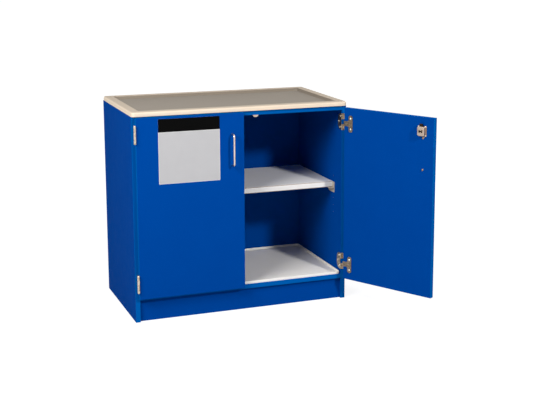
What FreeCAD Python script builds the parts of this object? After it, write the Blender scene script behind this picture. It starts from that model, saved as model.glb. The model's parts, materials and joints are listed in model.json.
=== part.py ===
import FreeCAD, Part
import math
import os
import re
import Sketcher

# Undercounter acid cabinet: laminate carcass on a toe board, moulded spill tray on top,
# a liner and one shelf inside, two overlay doors on wrap-around hinges, and a cam lock
# in the right door. The right door stands open, as it is most often shown.
# Every piece is drawn in millimetres from the outer front corner of a side panel
# or from the cabinet's middle, then carried into a frame whose origin is the middle of
# the toe board's foot: X to the right, Y to the back, Z up.

doc = FreeCAD.newDocument("AcidCabinet")
sizes = doc.addObject("Spreadsheet::Sheet", "Sizes")

DRIVING = [
    ("width", 914.4, "over the side panels"),
    ("depth", 508, "front to back of a side panel"),
    ("side_height", 838.2, "floor to the top of a side panel"),
    ("board", 19, "thickness of the carcass boards"),
    ("board_round", 1, "rounding of the banded edges"),
    ("back_board", 6, "thickness of the back board"),
    ("back_inset", 3, "back board in front of the side panels' back edges"),
    ("back_rebate", 9.5, "how far the back board is let into a side panel"),
    ("board_fit", 0.25, "play of a board in its rebate"),
    ("toe_height", 89.5, "floor to the underside of the floor panel"),
    ("toe_setback", 13, "toe board behind the side panels' front edges"),
    ("tray_height", 18, "top tray, over all"),
    ("tray_front", 10, "top tray in front of the side panels"),
    ("tray_rim", 36, "outside of the tray to the edge of its recess"),
    ("tray_depth", 12, "depth of the tray's recess"),
    ("tray_slope", 35, "degrees that the recess walls lean outward"),
    ("tray_wall", 4, "wall of the hollow rim"),
    ("tray_hollow", 11, "height of the hollow under the rim"),
    ("tray_corner", 14, "plan radius of the tray's corners"),
    ("tray_shoulder", 8, "radius of the rim's outer edge"),
    ("tray_blend", 2.5, "radius along the recess's edge"),
    ("liner_wall", 3, "wall and floor of the liner"),
    ("liner_lip", 11, "height of the liner"),
    ("liner_front", 4, "liner behind the floor panel's front edge"),
    ("liner_play", 2, "liner clear of the sides and back"),
    ("liner_corner", 10, "plan radius of the liner's corners"),
    ("liner_round", 1.2, "rounding of the liner's rim"),
    ("hole_radius", 2.5, "shelf-pin holes"),
    ("hole_depth", 12, "shelf-pin holes"),
    ("hole_base", 363, "lowest shelf-pin hole above the floor"),
    ("hole_pitch", 32, "step of the shelf-pin holes"),
    ("hole_count", 6, "holes in each row"),
    ("hole_front", 88, "front row behind the front edge"),
    ("hole_rear", 88, "back row ahead of the back edge"),
    ("shelf_hole", 3, "steps from the lowest hole to the clip's lower pin"),
    ("shelf_thick", 25.4, "shelf"),
    ("shelf_front", 86, "shelf behind the front edge"),
    ("shelf_rear", 21, "shelf clear of the back board"),
    ("shelf_play", 1, "shelf end clear of the clip's plate"),
    ("shelf_round", 5, "rounding of the shelf's front edge"),
    ("clip_plate", 3.5, "thickness of a clip's plate and ledge"),
    ("clip_length", 58, "clip's plate, front to back"),
    ("clip_height", 46, "clip's plate"),
    ("clip_ahead", 15, "plate past its pins, towards the shelf's end edge"),
    ("clip_below", 8, "plate below its lower pin"),
    ("clip_rise", 14.1, "lower pin to the shelf's underside"),
    ("clip_ledge", 22, "ledge out from the side panel"),
    ("clip_round", 5, "corners of the plate"),
    ("clip_pin", 2.4, "radius of a clip's pins"),
    ("clip_pin_length", 9, "pins into the side panel"),
    ("rib_reach", 17.6, "clip's ribs out from the side panel"),
    ("rib_thick", 1.75, "clip's ribs"),
    ("rib_inset", 9, "middle of an outer rib inside the plate's end"),
    ("door_board", 19, "thickness of a door"),
    ("door_gap", 3, "door's back in front of the carcass"),
    ("door_side", 12.7, "side panel's outer face to the door's hinge edge"),
    ("meeting_gap", 2.4, "between the closed doors"),
    ("door_bottom", 100.5, "floor to the door's lower edge"),
    ("door_top_gap", 3, "door's upper edge under the tray"),
    ("door_open", 119, "degrees that the right door stands open"),
    ("hinge_height", 70, "leaf, up and down"),
    ("hinge_inset", 65.5, "hinge's middle from the door's upper or lower edge"),
    ("leaf_thick", 2.4, "hinge steel"),
    ("barrel_radius", 4.75, "outside of the knuckles"),
    ("hinge_pin", 2.3, "radius of the hinge pin"),
    ("pin_play", 0.05, "pin in its knuckles, all round"),
    ("knuckle", 20.7, "middle knuckle, up and down"),
    ("knuckle_gap", 0.3, "between two knuckles"),
    ("edge_gap", 0.3, "side leaf's arms clear of the door's edge"),
    ("side_leaf_depth", 38, "side leaf on the side panel's inner face"),
    ("side_leaf_round", 26, "back corners of the side leaf"),
    ("leaf_relief", 3.5, "notch between the arms, behind the front edge"),
    ("leaf_bend", 2, "outside of the leaf's bends"),
    ("leaf_bar", 20, "width of the door leaf's bar"),
    ("leaf_bar_reach", 43.5, "door's hinge edge to the far side of the bar"),
    ("leaf_bar_round", 8.5, "ends of the bar"),
    ("leaf_neck_round", 7, "where the neck meets the bar"),
    ("leaf_hole_near", 13, "side leaf's outer holes behind the front edge"),
    ("leaf_hole_far", 26.5, "side leaf's middle hole behind the front edge"),
    ("leaf_hole_rise", 23, "side leaf's outer holes off the hinge's middle"),
    ("bar_hole_rise", 21.8, "bar's holes off the hinge's middle"),
    ("tip_height", 2.5, "cap on each end of the hinge pin"),
    ("tip_radius", 3, "flat end of the cap"),
    ("pull_rod", 4, "radius of the pull's rod"),
    ("pull_span", 128, "between the pull's screws"),
    ("pull_reach", 30, "rod's middle in front of the door"),
    ("pull_bend", 13, "bend radius along the rod's middle"),
    ("pull_inset", 51, "door's free edge to the pull"),
    ("pull_drop", 84.2, "door's upper edge to the upper screw"),
    ("lock_inset", 55, "door's free edge to the lock"),
    ("lock_drop", 56.2, "door's upper edge to the lock's axis"),
    ("case_plate", 42, "side of the lock case's plate"),
    ("case_plate_thick", 2, "lock case's plate"),
    ("case_width", 33, "lock case's box"),
    ("case_length", 38, "lock case's box, up and down"),
    ("case_depth", 14, "lock case off the door"),
    ("case_wall", 2.5, "lock case"),
    ("case_round", 6, "upright edges of the box"),
    ("case_blend", 2, "edge round the box's face"),
    ("window_width", 17, "window in the case's face"),
    ("window_height", 11.6, "window in the case's face"),
    ("window_rim", 2, "raised rim round the window"),
    ("window_proud", 1.2, "raised rim off the face"),
    ("window_tongue", 5.4, "width of the two tongues in the window"),
    ("window_waist", 5.1, "height left between the tongues"),
    ("case_screw_edge", 0.9, "screw heads inside the plate's edge"),
    ("bolt_width", 14, "lock bolt"),
    ("bolt_thick", 5, "lock bolt"),
    ("bolt_off", 6, "lock bolt off the door's back"),
    ("bolt_reach", 30.5, "lock's axis to the withdrawn bolt's end"),
    ("bolt_tail", 21, "width of the bolt's tail"),
    ("bolt_throw", 8.7, "travel of the bolt"),
    ("bolt_play", 0.3, "bolt in the case's slot, all round"),
    ("bolt_round", 1.5, "rounding of the bolt's end"),
    ("drive_pin", 1.5, "radius of the pin that drives the bolt"),
    ("drive_play", 0.35, "drive pin in the bolt's slot, all round"),
    ("slot_land", 3, "bolt's metal round the slot"),
    ("cylinder_radius", 9.5, "lock cylinder through the door"),
    ("cylinder_play", 0.1, "lock cylinder in its hole"),
    ("cylinder_face", 11.5, "radius of the cylinder's front ring"),
    ("cylinder_proud", 2.5, "front ring off the door"),
    ("cylinder_bevel", 1, "bevel round the front ring"),
    ("plug_radius", 6.35, "key plug"),
    ("plug_play", 0.05, "key plug in the cylinder"),
    ("plug_end", 2.2, "cylinder's inner end off the door's back"),
    ("cam_gap", 0.3, "cam disc clear of the cylinder"),
    ("cam_thick", 2, "cam disc"),
    ("cam_margin", 1, "cam disc past the drive pin"),
    ("keyway_width", 2, "slot for the key"),
    ("keyway_length", 8.4, "slot for the key"),
    ("keyway_depth", 14, "slot for the key"),
    ("strike_thick", 2.4, "strike plate"),
    ("strike_width", 25, "strike plate"),
    ("strike_tip", 14, "lower edge of the strike plate's lip"),
    ("strike_drop", 8.2, "lip below the top panel"),
    ("strike_length", 24, "strike plate's leg under the top panel"),
    ("strike_play", 0.5, "bolt in the strike plate's hole, all round"),
    ("strike_screw_side", 7.5, "strike plate's screws off its middle"),
    ("strike_screw_back", 16.3, "strike plate's screws behind the front edge"),
    ("catch_length", 46, "magnetic catch, side to side"),
    ("catch_depth", 15, "magnetic catch, front to back"),
    ("catch_height", 13, "magnetic catch"),
    ("catch_setback", 1.5, "catch's case behind the front edge"),
    ("catch_round", 2, "catch's corners"),
    ("catch_foot", 3, "catch's ears"),
    ("catch_middle", 7.5, "magnet's middle under the top panel"),
    ("catch_cheek", 3, "catch's case beside and behind the magnet"),
    ("magnet_length", 24, "pole pieces, side to side"),
    ("magnet_height", 7, "pole pieces with the magnet"),
    ("catch_screw_side", 18.4, "catch's screws off its middle"),
    ("catch_screw_back", 8.2, "catch's screws behind its face"),
    ("catch_plate_thick", 1.5, "steel plate on the left door"),
    ("catch_plate_length", 44, "steel plate on the left door"),
    ("catch_plate_height", 12, "steel plate on the left door"),
    ("catch_plate_screw_side", 18, "plate's screws off its middle"),
    ("catch_air", 0.3, "between the closed magnet and plate"),
    ("screw_head", 4.2, "radius of the wood screws' heads"),
    ("screw_dome", 2.4, "height of the wood screws' heads"),
    ("screw_shank", 1.9, "radius of the wood screws"),
    ("screw_length", 16, "wood screws under the head"),
    ("fine_head", 2.3, "radius of the lock's screw heads"),
    ("fine_dome", 1.4, "height of the lock's screw heads"),
    ("fine_shank", 1.2, "radius of the lock's screws"),
    ("fine_length", 12, "lock's screws under the head"),
    ("pull_screw_head", 4.6, "radius of the pull screws' heads"),
    ("pull_screw_dome", 2.6, "height of the pull screws' heads"),
    ("pull_screw_shank", 1.9, "radius of the pull screws"),
    ("pull_screw_grip", 6, "pull screw into the pull's leg"),
    ("screw_play", 0.1, "screws in their holes, all round"),
]

for row, (alias, number, note) in enumerate(DRIVING, 1):
    sizes.set("A%d" % row, alias)
    sizes.set("B%d" % row, str(number))
    sizes.setAlias("B%d" % row, alias)
    sizes.set("C%d" % row, note)
doc.recompute()

# Lengths worked out from the cells, as text that goes into the expressions.
FRAME_Y = "(-toe_setback - board / 2)"
LEFT_X = "(-width / 2)"
INNER_HALF = "(width / 2 - board)"
INNER_DEPTH = "(depth - back_inset - back_board)"
BACK_FACE = "(depth - back_inset)"
TOP_UNDER = "(side_height - board)"
FLOOR_TOP = "(toe_height + board)"
TRAY_LEAN = "(tray_depth * tan(tray_slope))"
PIN_Z = "(hole_base + shelf_hole * hole_pitch)"
SHELF_UNDER = "(%s + clip_rise)" % PIN_Z
SHELF_HALF = "(%s - clip_plate - shelf_play)" % INNER_HALF
DOOR_WIDTH = "(width / 2 - door_side - meeting_gap / 2)"
DOOR_TOP = "(side_height - door_top_gap)"
DOOR_BACK = "(-door_gap)"
DOOR_FRONT = "(-door_gap - door_board)"
AXIS_X = "(door_side - barrel_radius)"
AXIS_Y = "(-door_gap - door_board - barrel_radius)"
HINGE_LEVELS = {"upper": "(%s - hinge_inset)" % DOOR_TOP, "lower": "(door_bottom + hinge_inset)"}
NOTCH_HALF = "(knuckle / 2 + knuckle_gap)"
BAR_FAR = "(door_side + leaf_bar_reach)"
BAR_NEAR = "(door_side + leaf_bar_reach - leaf_bar)"
BAR_MIDDLE = "(door_side + leaf_bar_reach - leaf_bar / 2)"
PULL_X = "(meeting_gap / 2 + pull_inset)"
PULL_Z = "(%s - pull_drop - pull_span / 2)" % DOOR_TOP
LOCK_X = "(meeting_gap / 2 + lock_inset)"
LOCK_Z = "(%s - lock_drop)" % DOOR_TOP
DRIVE_ARM = "(bolt_throw / sqrt(2))"
DRIVE_REST = "(-bolt_throw / 2)"
SLOT_HALF = "(drive_pin + drive_play)"
CAM_FRONT = "(plug_end + cam_gap)"
CAM_BACK = "(plug_end + cam_gap + cam_thick)"
CAM_RADIUS = "(bolt_throw / sqrt(2) + drive_pin + cam_margin)"
CATCH_Z = "(side_height - board - catch_middle)"
PLATE_CORNER = "(case_plate / 2 - fine_head - case_screw_edge)"
HOLE_BACK = "(depth - hole_rear)"
SHELF_BACK = "(%s - shelf_rear)" % INNER_DEPTH
# How far a cut runs past the face that it starts from.
PAST = "1"


def linked(text):
    """Name the sheet before each of its cells in an expression."""
    return re.sub(r"\b([a-z]\w*)\b(?!\()", r"Sizes.\1", text)


def value(text):
    """Work an expression out as a number."""
    return float(sizes.evalExpression(linked(text)))


def bind(item, name, text):
    """Tie a property of an object to the sheet."""
    item.setExpression(name, linked(text))


def put(item, x="0", y="0", z="0"):
    """Carry a piece from its own drawing into the cabinet's frame."""
    bind(item, ".Placement.Base.x", x)
    bind(item, ".Placement.Base.y", "%s + %s" % (FRAME_Y, y))
    bind(item, ".Placement.Base.z", z)
    return item


def new_body(name):
    return doc.addObject("PartDesign::Body", name)


def new_sketch(body, name, plane, level="0"):
    """Attach a sketch to one of the body's planes, moved to a level on the axis across it.

    XY looks down Z, YZ looks down X, and XZ looks along Y, so its pads grow forward.
    """
    sketch = body.newObject("Sketcher::SketchObject", name)
    planes = {item.Role: item for item in body.Origin.OriginFeatures}
    sketch.AttachmentSupport = (planes[plane + "_Plane"], [""])
    sketch.MapMode = "FlatFace"
    bind(sketch, ".AttachmentOffset.Base.z", "-1 * (%s)" % level if plane == "XZ" else level)
    return sketch


def pin_point(sketch, geometry, point, x, y):
    """Hold a point of the sketch at a place given by two expressions."""
    for kind, text in (("DistanceX", x), ("DistanceY", y)):
        index = sketch.addConstraint(Sketcher.Constraint(kind, -1, 1, geometry, point, value(text)))
        bind(sketch, "Constraints[%d]" % index, text)


def draw(sketch, points, closed=True):
    """Draw straight runs and arcs from point to point.

    A point (x, y) ends a straight run, and (x, y, cx, cy) ends an arc about (cx, cy).
    """
    spots = [FreeCAD.Vector(value(point[0]), value(point[1]), 0) for point in points]
    runs = len(points) if closed else len(points) - 1
    first_run = sketch.GeometryCount
    ends = []
    for number in range(runs):
        following = (number + 1) % len(points)
        start = spots[number]
        finish = spots[following]
        if len(points[following]) == 2:
            sketch.addGeometry(Part.LineSegment(start, finish), False)
            ends.append((1, 2))
            continue
        centre = FreeCAD.Vector(value(points[following][2]), value(points[following][3]), 0)
        leftward = (start - centre).cross(finish - centre).z > 0
        angles = [math.atan2(spot.y - centre.y, spot.x - centre.x) for spot in (start, finish)]
        if not leftward:
            angles.reverse()
        full = Part.Circle(centre, FreeCAD.Vector(0, 0, 1), (start - centre).Length)
        sketch.addGeometry(Part.ArcOfCircle(full, angles[0], angles[1]), False)
        ends.append((1, 2) if leftward else (2, 1))
    for number in range(runs if closed else runs - 1):
        following = (number + 1) % runs
        sketch.addConstraint(Sketcher.Constraint("Coincident", first_run + number, ends[number][1],
                                                 first_run + following, ends[following][0]))
    for number in range(runs):
        pin_point(sketch, first_run + number, ends[number][0], points[number][0], points[number][1])
    if not closed:
        pin_point(sketch, first_run + runs - 1, ends[-1][1], points[-1][0], points[-1][1])
    for number in range(runs):
        following = (number + 1) % len(points)
        if len(points[following]) == 4:
            hold_centre(sketch, first_run + number, spots[following] - spots[number], points[following][2:])


def hold_centre(sketch, geometry, chord, centre):
    """Hold an arc's centre by the one coordinate that its ends leave free."""
    kind, text = ("DistanceX", centre[0]) if abs(chord.y) > abs(chord.x) else ("DistanceY", centre[1])
    index = sketch.addConstraint(Sketcher.Constraint(kind, -1, 1, geometry, 3, value(text)))
    bind(sketch, "Constraints[%d]" % index, text)


def rectangle(sketch, x0, y0, x1, y1, corner=None):
    """Draw an upright rectangle, with round corners where a radius is given."""
    if corner is None:
        draw(sketch, [(x0, y0), (x1, y0), (x1, y1), (x0, y1)])
        return
    left, right = "%s + %s" % (x0, corner), "%s - %s" % (x1, corner)
    low, high = "%s + %s" % (y0, corner), "%s - %s" % (y1, corner)
    draw(sketch, [(left, y0, left, low), (right, y0), (x1, low, right, low), (x1, high),
                  (right, y1, right, high), (left, y1), (x0, high, left, high), (x0, low)])


def circle(sketch, x, y, radius):
    """Add a circle to the sketch, held at its centre."""
    spot = FreeCAD.Vector(value(x), value(y), 0)
    number = sketch.addGeometry(Part.Circle(spot, FreeCAD.Vector(0, 0, 1), value(radius)), False)
    pin_point(sketch, number, 3, x, y)
    index = sketch.addConstraint(Sketcher.Constraint("Radius", number, value(radius)))
    bind(sketch, "Constraints[%d]" % index, radius)


def pad(body, sketch, length, both_ways=False, backward=False):
    """Raise a sketch into solid; backward turns it against the sketch's normal."""
    feature = body.newObject("PartDesign::Pad", sketch.Name + "_pad")
    feature.Profile = sketch
    bind(feature, "Length", length)
    feature.SideType = "Symmetric" if both_ways else "One side"
    feature.Reversed = backward
    doc.recompute()
    return feature


def pocket(body, sketch, length, both_ways=False, backward=False):
    """Cut a sketch into the body and make sure that it took something away."""
    before = body.Shape.Volume
    feature = body.newObject("PartDesign::Pocket", sketch.Name + "_pocket")
    feature.Profile = sketch
    bind(feature, "Length", length)
    feature.SideType = "Symmetric" if both_ways else "One side"
    feature.Reversed = backward
    doc.recompute()
    if body.Shape.Volume > before - 0.01:
        raise ValueError(feature.Name + " cuts nothing")
    return feature


def edges_at(shape, within=None, **where):
    """Name the edges that lie wholly at the given coordinates, or wholly within x and y limits."""
    found = []
    for number, edge in enumerate(shape.Edges, 1):
        box = edge.BoundBox
        limits = {"x": (box.XMin, box.XMax), "y": (box.YMin, box.YMax), "z": (box.ZMin, box.ZMax)}
        wanted = [(limits[axis], value(text)) for axis, text in where.items()]
        if not all(max(abs(low - spot), abs(high - spot)) < 0.01 for (low, high), spot in wanted):
            continue
        if within:
            x0, y0, x1, y1 = [value(text) for text in within]
            if box.XMin < x0 or box.XMax > x1 or box.YMin < y0 or box.YMax > y1:
                continue
        found.append("Edge%d" % number)
    return found


def soften(body, name, radius, places):
    """Round the edges at each of the given places."""
    tip = body.Tip
    names = sorted({edge for place in places for edge in edges_at(tip.Shape, **place)})
    if not names:
        raise ValueError(name + " finds no edge")
    feature = body.newObject("PartDesign::Fillet", name)
    feature.Base = (tip, names)
    bind(feature, "Radius", radius)
    doc.recompute()
    return feature


def panel(name, x0, x1, y0, y1, z0, z1, rounded=()):
    """A flat board between the given faces, with its banded edges rounded."""
    body = new_body(name)
    sketch = new_sketch(body, name + "_plan", "XY", z0)
    rectangle(sketch, x0, y0, x1, y1)
    pad(body, sketch, "%s - %s" % (z1, z0))
    if rounded:
        soften(body, name + "_edges", "board_round", rounded)
    return body


# Directions that a screw's head can look in: the axis and the angle that turn +Z there.
LOOKS = {
    "up": (FreeCAD.Vector(0, 0, 1), 0),
    "down": (FreeCAD.Vector(1, 0, 0), 180),
    "right": (FreeCAD.Vector(0, 1, 0), 90),
    "front": (FreeCAD.Vector(1, 0, 0), 90),
    "back": (FreeCAD.Vector(1, 0, 0), -90),
}


def facing(look):
    """A placement at the origin that turns +Z the given way."""
    return FreeCAD.Placement(FreeCAD.Vector(0, 0, 0), FreeCAD.Rotation(*LOOKS[look]))


def mirror(item, name):
    """The same piece on the other side of the cabinet's middle."""
    twin = doc.addObject("Part::Mirroring", name)
    twin.Source = item
    twin.Base = (0, 0, 0)
    twin.Normal = (1, 0, 0)
    return twin


def swing(item, name):
    """Turn a closed piece of the right door about its hinge axis to where the door stands."""
    axis_x = "(width / 2 - %s)" % AXIS_X
    axis_y = "(%s + %s)" % (FRAME_Y, AXIS_Y)
    turned = doc.addObject("Part::Compound", name)
    turned.Links = [item]
    turned.Placement = facing("up")
    bind(turned, ".Placement.Rotation.Angle", "door_open")
    bind(turned, ".Placement.Base.x",
         "%s - %s * cos(door_open) + %s * sin(door_open)" % (axis_x, axis_x, axis_y))
    bind(turned, ".Placement.Base.y",
         "%s - %s * sin(door_open) - %s * cos(door_open)" % (axis_y, axis_x, axis_y))
    return turned


def cut(base, tool, name):
    result = doc.addObject("Part::Cut", name)
    result.Base = base
    result.Tool = tool
    result.Refine = False
    return result


def gather(items, name):
    group = doc.addObject("Part::Compound", name)
    group.Links = items
    return group


def screw(name, head, dome, shank, length, pointed=True):
    """One screw: its tapered head sits on z = 0 and looks up, its shank goes down."""
    body = new_body(name)
    profile = new_sketch(body, name + "_profile", "XZ")
    outline = [("0", dome), ("%s - %s" % (head, dome), dome), (head, "0"), (shank, "0")]
    if pointed:
        outline += [(shank, "-%s + 2 * %s" % (length, shank)), ("0", "-" + length)]
    else:
        outline += [(shank, "-" + length), ("0", "-" + length)]
    draw(profile, outline)
    turned = body.newObject("PartDesign::Revolution", name + "_turned")
    turned.Profile = profile
    turned.ReferenceAxis = (profile, ["V_Axis"])
    turned.Angle = 360
    doc.recompute()
    return body


def drill(name, radius, length):
    """The hole that a screw needs, as a solid to cut with."""
    tool = doc.addObject("Part::Cylinder", name)
    bind(tool, "Radius", radius)
    bind(tool, "Height", length)
    bind(tool, ".Placement.Base.z", "-" + length)
    return gather([tool], name + "_tool")


def spread(source, name, places):
    """Set copies of a piece at the given places, each looking its own way."""
    copies = []
    for number, (x, y, z, look) in enumerate(places):
        copy = doc.addObject("App::Link", "%s_%d" % (name, number))
        copy.LinkedObject = source
        copy.Placement = facing(look)
        put(copy, x, y, z)
        copies.append(copy)
    return gather(copies, name)


wood_screw = screw("wood_screw", "screw_head", "screw_dome", "screw_shank", "screw_length")
fine_screw = screw("fine_screw", "fine_head", "fine_dome", "fine_shank", "fine_length")
pull_screw = screw("pull_screw", "pull_screw_head", "pull_screw_dome", "pull_screw_shank",
                   "(door_board + pull_screw_grip)", pointed=False)
wood_drill = drill("wood_drill", "screw_shank + screw_play", "screw_length + screw_play")
fine_drill = drill("fine_drill", "fine_shank + screw_play", "fine_length + screw_play")
pull_drill = drill("pull_drill", "pull_screw_shank + screw_play",
                   "(door_board + pull_screw_grip + screw_play)")

# Holes of the hinge leaves: behind the front edge and above the hinge's middle.
SIDE_LEAF_HOLES = [("leaf_hole_near", "(-leaf_hole_rise)"), ("leaf_hole_near", "leaf_hole_rise"),
                   ("leaf_hole_far", "0")]
DOOR_LEAF_HOLES = ["(-bar_hole_rise)", "bar_hole_rise"]
# Back board screws: columns as shares of the half width, rows of the sides as shares of the height.
BACK_COLUMNS = ("-1", "-1 / 3", "1 / 3", "1")
BACK_ROWS = ("0.3", "0.5", "0.7")

# Screws of the carcass, the left door and the lock, drawn once and set by their places.
side_leaf_places = []
door_leaf_places = []
for level in HINGE_LEVELS.values():
    for back, up in SIDE_LEAF_HOLES:
        side_leaf_places.append(("%s + board + leaf_thick" % LEFT_X, back, "%s + %s" % (level, up), "right"))
    for up in DOOR_LEAF_HOLES:
        door_leaf_places.append(("%s + %s" % (LEFT_X, BAR_MIDDLE), "%s + leaf_thick" % DOOR_BACK,
                                 "%s + %s" % (level, up), "back"))
pull_places = [("-" + PULL_X, DOOR_BACK, "%s %s pull_span / 2" % (PULL_Z, sign), "back") for sign in "+-"]
case_places = [("%s %s %s" % (LOCK_X, across, PLATE_CORNER), "%s + case_plate_thick" % DOOR_BACK,
                "%s %s %s" % (LOCK_Z, up, PLATE_CORNER), "back") for across in "+-" for up in "+-"]
strike_places = [("%s %s strike_screw_side" % (LOCK_X, sign), "strike_screw_back",
                  "%s - strike_thick" % TOP_UNDER, "down") for sign in "+-"]
catch_places = [("-%s %s catch_screw_side" % (LOCK_X, sign), "catch_setback + catch_screw_back",
                 "%s - catch_foot" % TOP_UNDER, "down") for sign in "+-"]
catch_plate_places = [("-%s %s catch_plate_screw_side" % (LOCK_X, sign),
                       "%s + catch_plate_thick" % DOOR_BACK, CATCH_Z, "back") for sign in "+-"]
back_places = []
for column in BACK_COLUMNS:
    for row in ("side_height - board / 2", "toe_height + board / 2"):
        back_places.append(("%s * (%s - board)" % (column, INNER_HALF), BACK_FACE, row, "back"))
for row in BACK_ROWS:
    for side in ("1", "-1"):
        back_places.append(("%s * (%s + back_rebate / 2)" % (side, INNER_HALF), BACK_FACE,
                            "toe_height + %s * (side_height - toe_height)" % row, "back"))


def side_panel():
    """Left side: runs to the floor, rebated for the back board and bored for shelf pins."""
    body = new_body("left_side_board")
    side = new_sketch(body, "side_outline", "YZ")
    rectangle(side, "0", "0", "depth", "side_height")
    pad(body, side, "board")
    soften(body, "side_edges", "board_round", [{"x": "0", "y": "0"}, {"x": "board", "y": "0"}])
    rebate = new_sketch(body, "side_rebate", "XY")
    rectangle(rebate, "board - back_rebate", "%s - back_board" % BACK_FACE,
              "board + " + PAST, "depth + " + PAST)
    pocket(body, rebate, "side_height", backward=True)
    holes = new_sketch(body, "shelf_holes", "YZ", "board")
    circle(holes, "hole_front", "hole_base", "hole_radius")
    circle(holes, HOLE_BACK, "hole_base", "hole_radius")
    bored = pocket(body, holes, "hole_depth")
    rows = body.newObject("PartDesign::LinearPattern", "shelf_hole_rows")
    rows.Originals = [bored]
    rows.Direction = (holes, ["V_Axis"])
    bind(rows, "Length", "hole_pitch * (hole_count - 1)")
    bind(rows, "Occurrences", "hole_count")
    body.Tip = rows
    doc.recompute()
    return put(body, LEFT_X)


def inset_rectangle(sketch, inset, corner=None):
    """Rectangle inside the tray's plan, the same inset on all four sides."""
    rectangle(sketch, "%s + %s" % (LEFT_X, inset), "-tray_front + %s" % inset,
              "width / 2 - %s" % inset, "depth - %s" % inset, corner)


def top_tray():
    """Moulded spill tray: hollow rim, well-rounded outside, recess with leaning walls."""
    body = new_body("top_tray")
    plan = new_sketch(body, "tray_plan", "XY")
    inset_rectangle(plan, "0", "tray_corner")
    pad(body, plan, "tray_height")
    soften(body, "tray_shoulders", "tray_shoulder", [{"z": "tray_height"}])
    mouth = new_sketch(body, "tray_mouth", "XY", "tray_height")
    inset_rectangle(mouth, "tray_rim", "tray_corner")
    floor = new_sketch(body, "tray_floor", "XY", "tray_height - tray_depth")
    inset_rectangle(floor, "(tray_rim + %s)" % TRAY_LEAN, "tray_corner")
    recess = body.newObject("PartDesign::SubtractiveLoft", "tray_recess")
    recess.Profile = mouth
    recess.Sections = [floor]
    recess.Ruled = True
    doc.recompute()
    inside = (LEFT_X + " + tray_rim / 2", "-tray_front + tray_rim / 2",
              "width / 2 - tray_rim / 2", "depth - tray_rim / 2")
    soften(body, "tray_blends", "tray_blend",
           [{"z": "tray_height", "within": inside}, {"z": "tray_height - tray_depth"}])
    hollow = new_sketch(body, "rim_hollow", "XY")
    inset_rectangle(hollow, "tray_wall", "(tray_corner - tray_wall)")
    inset_rectangle(hollow, "(tray_rim - tray_wall)", "tray_corner")
    pocket(body, hollow, "tray_hollow", backward=True)
    return put(body, z="side_height")


def floor_liner():
    """Shallow moulded liner on the floor panel."""
    body = new_body("floor_liner")
    half = "(%s - liner_play)" % INNER_HALF
    outside = new_sketch(body, "liner_outside", "XY")
    rectangle(outside, "-" + half, "liner_front", half, INNER_DEPTH + " - liner_play", "liner_corner")
    pad(body, outside, "liner_lip")
    inside = new_sketch(body, "liner_inside", "XY", "liner_lip")
    inner = "(%s - liner_wall)" % half
    rectangle(inside, "-" + inner, "liner_front + liner_wall", inner,
              INNER_DEPTH + " - liner_play - liner_wall", "(liner_corner - liner_wall)")
    pocket(body, inside, "liner_lip - liner_wall")
    soften(body, "liner_rim", "liner_round", [{"z": "liner_lip"}])
    return put(body, z=FLOOR_TOP)


def clip(name, end):
    """Two-pin shelf clip on the left panel; end is 1 at the front and -1 at the back."""
    body = new_body(name)
    ahead = "-%d * clip_ahead" % end
    behind = "%d * (clip_length - clip_ahead)" % end
    first, last = (ahead, behind) if end > 0 else (behind, ahead)
    plate = new_sketch(body, name + "_plate", "YZ")
    rectangle(plate, first, "-clip_below", last, "clip_height - clip_below", "clip_round")
    pad(body, plate, "clip_plate")
    ledge = new_sketch(body, name + "_ledge", "XZ", last)
    draw(ledge, [("0", "clip_rise - clip_plate"), ("clip_ledge", "clip_rise - clip_plate"),
                 ("clip_ledge", "clip_rise"), ("0", "clip_rise")])
    pad(body, ledge, "clip_length")
    for number, middle in enumerate(("rib_inset", "clip_length / 2", "clip_length - rib_inset")):
        rib = new_sketch(body, "%s_rib_%d" % (name, number), "XZ",
                         "%s + %s + rib_thick / 2" % (first, middle))
        draw(rib, [("0", "0 - clip_below / 2"), ("rib_reach", "clip_rise - clip_plate / 2"),
                   ("0", "clip_rise - clip_plate / 2")])
        pad(body, rib, "rib_thick")
    pins = new_sketch(body, name + "_pins", "YZ")
    circle(pins, "0", "0", "clip_pin")
    circle(pins, "0", "hole_pitch", "clip_pin")
    pad(body, pins, "clip_pin_length", backward=True)
    row = "hole_front" if end > 0 else HOLE_BACK
    return put(body, "%s + board" % LEFT_X, row, PIN_Z)


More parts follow.
